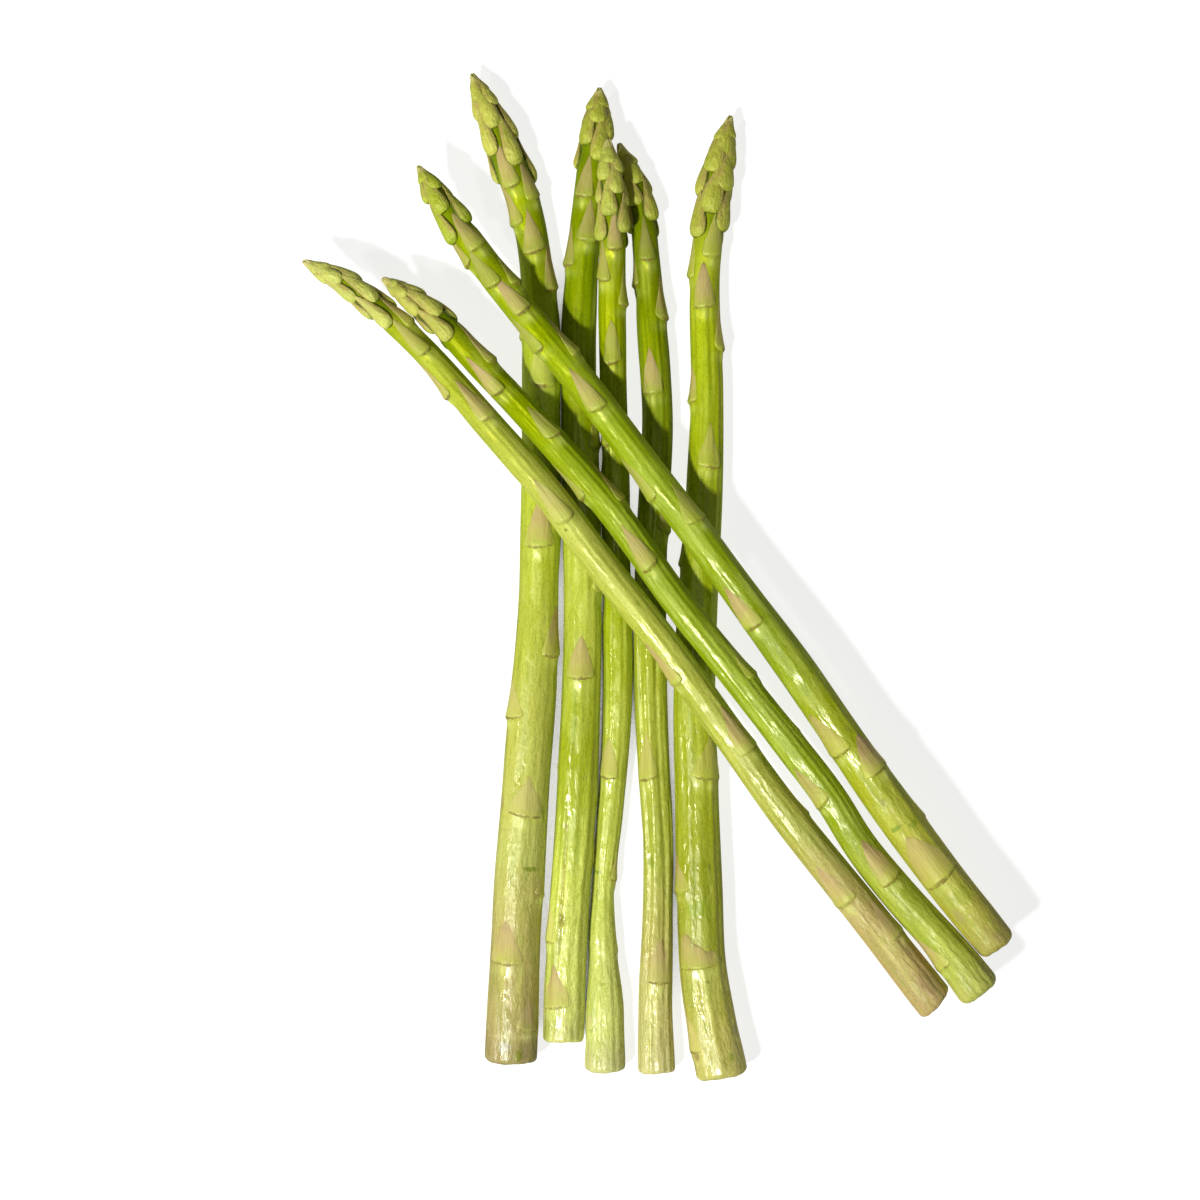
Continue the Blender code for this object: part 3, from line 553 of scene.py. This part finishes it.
def add_stem(name, spear):
    """A long cylinder with a rounded cut rim, drawn to a point at its head and then bent."""
    length = spear["length"]
    bpy.ops.mesh.primitive_cylinder_add(
        vertices=80, radius=BLANK_RADIUS * MM, depth=length * MM,
        location=(0, 0, length / 2 * MM),
    )
    stem = bpy.context.object
    stem.name = name + "_stem"
    bpy.ops.object.transform_apply(location=True, rotation=True, scale=True)
    mesh = stem.data
    bpy.ops.object.mode_set(mode="EDIT")
    bpy.ops.mesh.select_mode(type="EDGE")
    bpy.ops.mesh.select_all(action="DESELECT")
    shape = bmesh.from_edit_mesh(mesh)
    for edge in shape.edges:
        edge.select = max(v.co.z for v in edge.verts) < 0.1 * MM
    bmesh.update_edit_mesh(mesh)
    bpy.ops.mesh.bevel(offset=spear["rim"] * MM, segments=6, profile=0.5)
    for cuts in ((15, 19)):
        bpy.ops.mesh.select_all(action="DESELECT")
        shape = bmesh.from_edit_mesh(mesh)
        for edge in shape.edges:
            edge.select = abs(edge.verts[0].co.z - edge.verts[1].co.z) > 5 * MM
        bmesh.update_edit_mesh(mesh)
        bpy.ops.mesh.subdivide(number_cuts=cuts)
    bpy.ops.mesh.select_mode(type="FACE")
    bpy.ops.mesh.select_all(action="DESELECT")
    shape = bmesh.from_edit_mesh(mesh)
    for face in shape.faces:
        face.select = all(v.co.z < 0.01 * MM for v in face.verts)
    bmesh.update_edit_mesh(mesh)
    rings = 6
    for _ in range(rings):
        bpy.ops.mesh.inset(thickness=(BLANK_RADIUS - spear["rim"] - 0.3) / rings * MM)
    bpy.ops.mesh.poke()
    bpy.ops.mesh.select_mode(type="VERT")
    bpy.ops.mesh.select_all(action="DESELECT")
    shape = bmesh.from_edit_mesh(mesh)
    for vert in shape.verts:
        vert.select = vert.co.z > (length - 0.01) * MM
    bmesh.update_edit_mesh(mesh)
    bpy.ops.mesh.merge(type="CENTER")
    bpy.ops.object.mode_set(mode="OBJECT")

    place = np.empty(len(mesh.vertices) * 3)
    mesh.vertices.foreach_get("co", place)
    x, y, s = place.reshape(-1, 3).T / MM
    degrees = np.degrees(np.arctan2(-x, y))
    share = np.hypot(x, y) / BLANK_RADIUS
    r = share * skin_radius(spear, s, degrees)
    turn = np.radians(degrees)
    waves = spear["waves"]
    uneven = 0.14 * np.sin(2 * turn + waves[2]) + 0.05 * np.sin(7 * turn + waves[3])
    dried = 0.3 * (1 - share) * (s < 0.05) + (0.19 + uneven) * np.exp(-s / 2.0) * (share > 0.5)
    dried = dried + spear.get("cut", 0) * share * np.sin(turn) * np.exp(-s / 6.0)
    straight = np.c_[-r * np.sin(turn), r * np.cos(turn), s + dried]
    mesh.vertices.foreach_set("co", (straight * MM).ravel())
    # A painted highlight just below each leaf scale's foot: a broad faint band, stronger over the
    # bud.
    foot_highlight = np.zeros(len(s))
    for start, angle in spear["scales"]:
        aside = turn_between(degrees, angle)
        below = np.exp(-(((s - start + 1.3) / 1.1) ** 2))
        foot_highlight = np.maximum(foot_highlight, 0.22 * np.exp(-((aside / FOOT_HIGHLIGHT_WIDTH) ** 2)) * below)
        foot_highlight = np.maximum(foot_highlight, 0.55 * np.exp(-((aside / BUD_WIDTH) ** 2)) * below)
    remember(mesh, "grown", straight * MM)
    remember(mesh, "foot_highlight", foot_highlight)
    flat_share = 1.02 - spear["rim"] / BLANK_RADIUS
    remember(mesh, "cut", np.clip((flat_share - share) / 0.08, 0, 1) * (s < 0.6))
    mesh.materials.append(skin_of(name + "_skin", spear))
    lay_on_line(stem, spear)
    bpy.ops.object.shade_smooth_by_angle(angle=math.radians(50))
    return stem


for number, (name, spear) in enumerate(SPEARS.items()):
    flat = smooth_route(spear["route"])
    steps = np.r_[0.0, np.cumsum(np.linalg.norm(np.diff(flat, axis=0), axis=1))]
    spear["length"] = steps[-1]
    spear["neck"] = steps[-1] - spear["head"][0]
    rise, over = spear["lift"]
    heights = (
        stem_radius(spear, np.minimum(steps, spear["neck"]))
        + spear["height"]
        + rise * ease((steps - spear["length"] + over) / over)
    )
    spear["line"] = np.c_[flat, heights]
    spear["waves"] = np.random.default_rng(40 + number).uniform(0, 6.3, 8)
    stem = add_stem(name, spear)
    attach(stem, "root")
    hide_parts("spear_" + name)

# THE LEAF SCALES
# The leaves of a spear are thin, dry, pointed scales. They stand round it one above another,
# grown on by a broad base that stands out as a lip, their blades pressed flat to the skin.

SCALE_LENGTH = 10.5
SCALE_WIDTH = (1.0, 0.84)  # shares of the stem's width, measured round it
LIP = (0.34, 0.9)  # how far the base stands out, at the cut end and at the head
DRIED_SPOT = (160, 136, 92)
BLUSH = (180, 150, 112)
FOOT_LINE = (126, 112, 48)
DRY_RIM = (126, 104, 58)


def copy_of(template, name):
    copy = template.copy()
    copy.data = template.data.copy()
    copy.name = name
    bpy.context.collection.objects.link(copy)
    return copy


def ball(segments, rings):
    """The round start of a leaf, and where its points are round and along it."""
    bpy.ops.mesh.primitive_uv_sphere_add(segments=segments, ring_count=rings, radius=1)
    template = bpy.context.object
    place = np.empty(len(template.data.vertices) * 3)
    template.data.vertices.foreach_get("co", place)
    x, y, z = place.reshape(-1, 3).T
    round_it = np.maximum(np.hypot(x, y), 1e-9)
    return template, (z + 1) / 2, x / round_it * (np.hypot(x, y) > 1e-4), y / round_it


def grow_leaf(leaf, spear, along, degrees, height, facts):
    """Sets a leaf's points on its spear, at those places round and along it."""
    r = skin_radius(spear, along, degrees) + height
    turn = np.radians(degrees)
    straight = np.c_[-r * np.sin(turn), r * np.cos(turn), along]
    leaf.data.vertices.foreach_set("co", (straight * MM).ravel())
    remember(leaf.data, "grown", straight * MM)
    remember(leaf.data, "leaf", facts)


def join_leaves(leaves, name, material):
    bpy.ops.object.select_all(action="DESELECT")
    for leaf in leaves:
        leaf.select_set(True)
    bpy.context.view_layer.objects.active = leaves[0]
    bpy.ops.object.join()
    joined = bpy.context.object
    joined.name = name
    joined.data.name = name
    joined.data.materials.clear()
    joined.data.materials.append(material)
    bpy.ops.object.mode_set(mode="EDIT")
    bpy.ops.mesh.select_all(action="SELECT")
    bpy.ops.mesh.normals_make_consistent(inside=False)
    bpy.ops.object.mode_set(mode="OBJECT")
    return joined


def add_scales(name, spear, chance):
    template, a, side, out = ball(28, 26)
    scales = []
    for start, angle in spear["scales"]:
        t = start / spear["neck"]
        length = SCALE_LENGTH * chance.uniform(0.9, 1.2)
        share = SCALE_WIDTH[0] + (SCALE_WIDTH[1] - SCALE_WIDTH[0]) * ease((t - 0.4) / 0.4)
        width = share * 2 * stem_radius(spear, start) * chance.uniform(0.88, 1.08)
        lip = LIP[0] + (LIP[1] - LIP[0]) * t
        lean = chance.uniform(-9, 9)
        skew = chance.uniform(-0.7, 0.7)
        length_share, width_share = spear.get("sized", {}).get((start, angle), (1, 1))
        length, width = length * length_share, width * width_share
        outline = (1 - np.exp(-26 * a)) * np.maximum(1 - a, 0) ** chance.uniform(0.65, 1.05)
        wavy = 1 + 0.1 * np.sin(7 * a + chance.uniform(0, 6)) * a
        crown = ease(a / 0.1) * (0.14 + 0.95 * np.exp(-a / 0.26)) * (1 - 0.6 * a)
        if (start, angle) == spear.get("torn"):
            length, width, lean = 10.0, 1.18 * width, -6
            outline = (1 - np.exp(-26 * a)) * np.maximum(1 - a, 0) ** 0.3
        height = np.where(out > 0, lip * crown * np.abs(out) ** 0.9, -0.6 * np.abs(out))
        across = outline * side
        rise = a * length
        if (start, angle) == spear.get("torn"):
            rise = rise * (1 - 0.58 * ease((across + 0.85) / 1.2)) + 0.3 * a * np.sin(14 * across)
        along = start + rise + skew * across * (1 - a) - 0.35 * (1 - across**2) * (1 - a) ** 4
        arc = width / 2 * across * wavy
        degrees = angle + lean * a + np.degrees(arc / core_radius(spear, along))
        facts = np.c_[a, across, np.full(len(a), chance.random())]
        scale = copy_of(template, name + "_scale")
        grow_leaf(scale, spear, along, degrees, height, facts)
        scales.append(scale)
    bpy.data.objects.remove(template)
    piece = join_leaves(scales, name + "_scales", scale_paper(name + "_scale_paper", spear))
    lay_on_line(piece, spear)
    bpy.ops.object.shade_smooth_by_angle(angle=math.radians(60))
    return piece


def scale_paper(name, spear):
    """Dry beige leaf, which thins out to the skin's own tone at its margins and foot."""
    shade = Shade(name)
    grown = shade.stored("grown").outputs["Vector"]
    along, aside, own = shade.split(shade.stored("leaf").outputs["Vector"])
    on_stem = shade.sum("DIVIDE", shade.split(grown)[2], spear["length"] * MM)
    skin = shade.ramp(on_stem, spear["tones"])
    patchy = shade.noise(grown, 420.0, 3.0, 0.6)
    worn = shade.sum("ADD", along, shade.spread(patchy, 0.25, 0.75, -0.13, 0.13))
    tone = shade.ramp(worn, [(0.0, (186, 196, 84)), (0.12, (190, 190, 90)),
                             (0.3, (192, 180, 102)), (0.55, (192, 171, 112)),
                             (0.8, (186, 160, 112)), (1.0, (174, 146, 104))])
    veins = shade.noise(shade.stretch(grown, (1, 1, 0.05)), 2100.0, 4.0, 0.55)
    tone = shade.mix("MULTIPLY", 1.0, tone,
                     shade.ramp(veins, [(0.3, (234, 228, 212)), (0.55, (251, 251, 246)),
                                        (0.75, (255, 255, 255))]))
    dots = shade.cells(grown, 2600.0)
    few = shade.spread(shade.split(dots["Color"])[0], 0.7, 0.8, 0.0, 0.4)
    dots = shade.sum("MULTIPLY", shade.spread(dots["Distance"], 0.1, 0.3, 1.0, 0.0), few)
    tone = shade.mix("MIX", dots, tone, paint(DRIED_SPOT))
    blush = shade.sum("MULTIPLY", shade.spread(own, 0.3, 1.0, 0.0, 0.3),
                      shade.spread(along, 0.1, 0.6))
    tone = shade.mix("MIX", blush, tone, paint(BLUSH))
    edge = shade.sum("ABSOLUTE", aside, 0.0)
    thin = shade.sum("MAXIMUM", shade.spread(edge, 0.2, 0.95, 0.0, 0.7),
                     shade.spread(along, 0.2, 0.0, 0.0, 0.6))
    thin = shade.sum("MAXIMUM", thin, shade.spread(own, 0.0, 1.0, 0.05, 0.65))
    tone = shade.mix("MIX", thin, tone, skin)
    foot = shade.sum("ADD", along, shade.spread(shade.noise(grown, 1300.0), 0.3, 0.7, -0.02, 0.02))
    foot = shade.sum("MULTIPLY", shade.spread(foot, 0.005, 0.03),
                     shade.spread(foot, 0.05, 0.1, 0.9, 0.0))
    foot = shade.sum("MULTIPLY", foot, shade.spread(patchy, 0.35, 0.6, 0.25, 1.0))
    tone = shade.mix("MIX", foot, tone, paint(FOOT_LINE))
    dry_rim = shade.spread(along, 0.9, 0.98, 0.0, 0.7 if "torn" in spear else 0.2)
    tone = shade.mix("MIX", dry_rim, tone, paint(DRY_RIM))
    shade.wire(tone, shade.shader.inputs["Base Color"])
    shade.wire(shade.spread(worn, 0.0, 0.4, 0.38, 0.6), shade.shader.inputs["Roughness"])
    shade.shader.inputs["Subsurface Weight"].default_value = 0.08
    shade.shader.inputs["Subsurface Radius"].default_value = (1.0, 0.9, 0.4)
    shade.shader.inputs["Subsurface Scale"].default_value = 0.001
    shade.shader.inputs["Specular Tint"].default_value = (1.0, 1.0, 0.6, 1.0)
    shade.bump(shade.sum("ADD", veins, patchy), 0.00018, 0.8)
    return shade.material


for number, (name, spear) in enumerate(SPEARS.items()):
    scales = add_scales(name, spear, random.Random(70 + number))
    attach(scales, "root")
    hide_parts("spear_" + name)

# THE HEADS
# A head is the unopened tip of the shoot: buds packed in a spiral, each held by a bract,
# which is a fleshy scale with a plump green foot and a long dry point.

BRACT_BULGE = (1.4, 0.95)  # at the head's foot and at its tip
SPIRAL_TURN = 137.5  # from one bract to the next, round the head
PALE_MOTTLE = (208, 204, 120)
DARK_MOTTLE = (134, 140, 36)
FRESH_GREEN = (150, 172, 26)
DRY_MARGIN = (176, 156, 86)
PAINTED_CREVICE_SHADE = (66, 82, 0)
PALE_NIB_AND_PAINTED_LIGHT = (214, 208, 130)


def add_bracts(name, spear, chance):
    template, a, side, out = ball(26, 30)
    outline = 1.1 * np.maximum(np.sin(math.pi * a**0.54), 0) ** 0.8 * (1 - 0.42 * a)
    swell = np.sqrt(1 - (1 - np.minimum(a / 0.2, 1)) ** 2)
    head_length, head_width = spear["head"]
    low_length, top_length, bract_width, spacing = spear["bracts"]
    count = round(head_length / spacing)
    bracts = []
    for i in range(count):
        t = i / count
        start = spear["neck"] - 1.5 + head_length * 0.93 * (1 - (1 - t) ** 1.3)
        start = start + chance.uniform(-0.3, 0.3)
        angle = spear["scales"][-1][1] + SPIRAL_TURN * (i + 1) + chance.uniform(-7, 7)
        length = (low_length + (top_length - low_length) * t) * chance.uniform(0.9, 1.12)
        length = min(length, spear["length"] - start)
        width = head_width * bract_width * (1 - 0.12 * t) * chance.uniform(0.92, 1.08)
        bulge = BRACT_BULGE[0] + (BRACT_BULGE[1] - BRACT_BULGE[0]) * t
        bulge = bulge * chance.uniform(0.88, 1.08)
        along = start + a * length
        to_tip = spear["length"] - along
        closing = 0.6 + 0.4 * ease(to_tip / 6)
        closing = closing * np.sqrt(1 - (1 - np.clip(to_tip / 1.8, 0, 1)) ** 2) + 0.03
        ridge = bulge * swell * (1 - 0.58 * ease((a - 0.18) / 0.7)) * closing
        rim = ridge * ease((a - 0.4) / 0.5) * 0.8 - 0.3 * (1 - ease((a - 0.2) / 0.4))
        free = ease((a - 0.45) / 0.4)
        inner = np.maximum(rim - 0.35, -0.8) * free - 0.9 * (1 - free)
        height = np.where(out > 0, rim + (ridge - rim) * np.abs(out),
                          rim + (np.minimum(inner, rim) - rim) * np.abs(out))
        height = height + 0.07 * np.sin(5 * side * outline + chance.uniform(0, 6)) * np.sin(9 * a)
        core = np.maximum(core_radius(spear, along) + 0.5 * bulge, 1.1)
        arc = width / 2 * outline * side
        lean = chance.uniform(-9, 9)
        degrees = angle + lean * a * a + np.degrees(arc / core)
        facts = np.c_[a, side, np.full(len(a), chance.random())]
        bract = copy_of(template, name + "_bract")
        grow_leaf(bract, spear, along, degrees, height, facts)
        bracts.append(bract)
    bpy.data.objects.remove(template)
    piece = join_leaves(bracts, name + "_head", bract_skin(name + "_bract_skin", spear))
    lay_on_line(piece, spear)
    bpy.ops.object.shade_smooth_by_angle(angle=math.radians(60))
    return piece


def bract_skin(name, spear):
    """Fleshy yellow green at the foot, tan and dry at the point and along the margins."""
    shade = Shade(name)
    grown = shade.stored("grown").outputs["Vector"]
    along, aside, own = shade.split(shade.stored("leaf").outputs["Vector"])
    edge = shade.sum("ABSOLUTE", aside, 0.0)
    patchy = shade.noise(grown, 500.0, 3.0, 0.6)
    worn = shade.sum("ADD", along, shade.spread(patchy, 0.25, 0.75, -0.1, 0.1))
    worn = shade.sum("ADD", worn, shade.spread(own, 0.0, 1.0, -0.08, 0.1))
    # The ramp starts darker at the very foot: painted shade where the bract meets the stem.
    tone = shade.ramp(worn, [(0.0, (140, 160, 20)), (0.05, (190, 202, 66)),
                             (0.2, (204, 212, 84)), (0.36, (190, 198, 60)),
                             (0.55, (176, 180, 60)), (0.78, (182, 172, 84)), (1.0, (190, 172, 98))])
    veins = shade.noise(shade.stretch(grown, (1, 1, 0.1)), 1700.0, 4.0, 0.6)
    tone = shade.mix("MULTIPLY", 1.0, tone,
                     shade.ramp(veins, [(0.3, (206, 200, 164)), (0.5, (244, 244, 232)),
                                        (0.72, (255, 255, 255))]))
    mottled = shade.noise(shade.stretch(grown, (1, 1, 0.6)), 1500.0, 3.0, 0.65)
    tone = shade.mix("MIX", shade.spread(mottled, 0.5, 0.7, 0.0, 0.45), tone, paint(PALE_MOTTLE))
    tone = shade.mix("MIX", shade.spread(mottled, 0.48, 0.3, 0.0, 0.45), tone, paint(DARK_MOTTLE))
    green = shade.spread(shade.noise(grown, 260.0, 2.0), 0.5, 0.7, 0.0, 0.45)
    tone = shade.mix("MIX", green, tone, paint(FRESH_GREEN))
    tone = shade.mix("MIX", 0.42, tone, paint(spear["bract_tone"]))
    dry = shade.sum("ADD", edge, shade.spread(patchy, 0.3, 0.7, -0.15, 0.15))
    dry = shade.sum("MULTIPLY", shade.spread(dry, 0.3, 0.8, 0.0, 0.75),
                    shade.spread(along, 0.06, 0.34))
    tone = shade.mix("MIX", dry, tone, paint(DRY_MARGIN))
    # Painted shade in the crevices: dark along the margins of each bract's lower part, fading out
    # before the point, and across its very foot.
    crevice_shade = shade.sum("MULTIPLY", shade.spread(edge, 0.8, 0.96, 0.0, 0.95),
                       shade.spread(along, 0.8, 0.4))
    crevice_shade = shade.sum("MAXIMUM", crevice_shade, shade.spread(along, 0.0, 0.04, 0.95, 0.0))
    tone = shade.mix("MIX", crevice_shade, tone, paint(PAINTED_CREVICE_SHADE))
    # The head's last 2.6 mm are painted paler: partly the nib's own pale tone, partly painted light
    # on a point that faces away from the lamp.
    tip = spear["length"]
    nib_and_painted_light = shade.spread(shade.split(grown)[2], (tip - 2.6) * MM, (tip - 0.8) * MM, 0.0, 0.6)
    tone = shade.mix("MIX", nib_and_painted_light, tone, paint(PALE_NIB_AND_PAINTED_LIGHT))
    shade.wire(tone, shade.shader.inputs["Base Color"])
    shade.wire(shade.spread(worn, 0.1, 0.6, 0.4, 0.58), shade.shader.inputs["Roughness"])
    shade.shader.inputs["Subsurface Weight"].default_value = 0.08
    shade.shader.inputs["Subsurface Radius"].default_value = (0.8, 1.0, 0.25)
    shade.shader.inputs["Subsurface Scale"].default_value = 0.0012
    shade.shader.inputs["Specular Tint"].default_value = (1.0, 1.0, 0.6, 1.0)
    relief = shade.sum("ADD", shade.sum("MULTIPLY", mottled, 0.8),
                       shade.sum("MULTIPLY", patchy, 1.2))
    shade.bump(shade.sum("ADD", veins, relief), 0.00034, 0.9)
    return shade.material


for number, (name, spear) in enumerate(SPEARS.items()):
    head = add_bracts(name, spear, random.Random(90 + number))
    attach(head, "root")
    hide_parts("spear_" + name)

# TABLE, LIGHT AND CAMERA
# The spears lie on a plain white surface. The main lamp stands at the left, towards the cut
# ends, and throws their shadows to the upper right. The camera looks straight down on them.

bpy.ops.mesh.primitive_plane_add(size=4.0, location=(0, 0, -0.0002))
table = bpy.context.object
table.name = "table"
white = Shade("white_table")
white.wire(white.ramp(white.noise(white.stored("position").outputs["Vector"], 30.0),
                      [(0.0, (146, 146, 146)), (1.0, (150, 150, 150))]),
           white.shader.inputs["Base Color"])
white.shader.inputs["Roughness"].default_value = 0.8
# The surface shines as white as the photograph's background, but not in the narrowest slots, where
# occlusion dims its glow into painted shade.
white.shader.inputs["Emission Color"].default_value = (1, 1, 1, 1)
opening = white.nodes.new("ShaderNodeAmbientOcclusion")
opening.inputs["Distance"].default_value = 0.006
opening.samples = 12
white.wire(white.spread(opening.outputs["AO"], 0.09, 0.16, 0.0, 0.8),
           white.shader.inputs["Emission Strength"])
table.data.materials.append(white.material)
table.visible_glossy = False
table.visible_shadow = False


def add_lamp(name, place, size, power):
    lamp = bpy.data.lights.new(name, "AREA")
    lamp.shape = "DISK"
    lamp.size = size
    lamp.energy = power
    lamp_object = bpy.data.objects.new(name, lamp)
    bpy.context.collection.objects.link(lamp_object)
    lamp_object.location = place
    lamp_object.rotation_euler = (-lamp_object.location).to_track_quat("-Z", "Y").to_euler()


add_lamp("key_lamp", (-0.50, -0.48, 1.06), 0.12, 15.6)
add_lamp("side_lamp", (-1.0, -0.18, 0.95), 0.12, 4.2)
add_lamp("soft_overhead", (0.1, 0.2, 1.4), 1.2, 1.0)
world = bpy.data.worlds.new("studio")
world.use_nodes = True
world.node_tree.nodes["Background"].inputs["Color"].default_value = (1.0, 1.0, 1.0, 1.0)
world.node_tree.nodes["Background"].inputs["Strength"].default_value = 0.07
bpy.context.scene.world = world
bpy.context.scene.view_settings.view_transform = "Standard"

lens = bpy.data.cameras.new("camera")
lens.lens = 100
lens.sensor_width = 36
lens.clip_start = 0.01
camera = bpy.data.objects.new("camera", lens)
bpy.context.collection.objects.link(camera)
camera.location = (-0.01306, -0.00531, 0.775)
bpy.context.scene.camera = camera

bpy.ops.object.select_all(action="DESELECT")
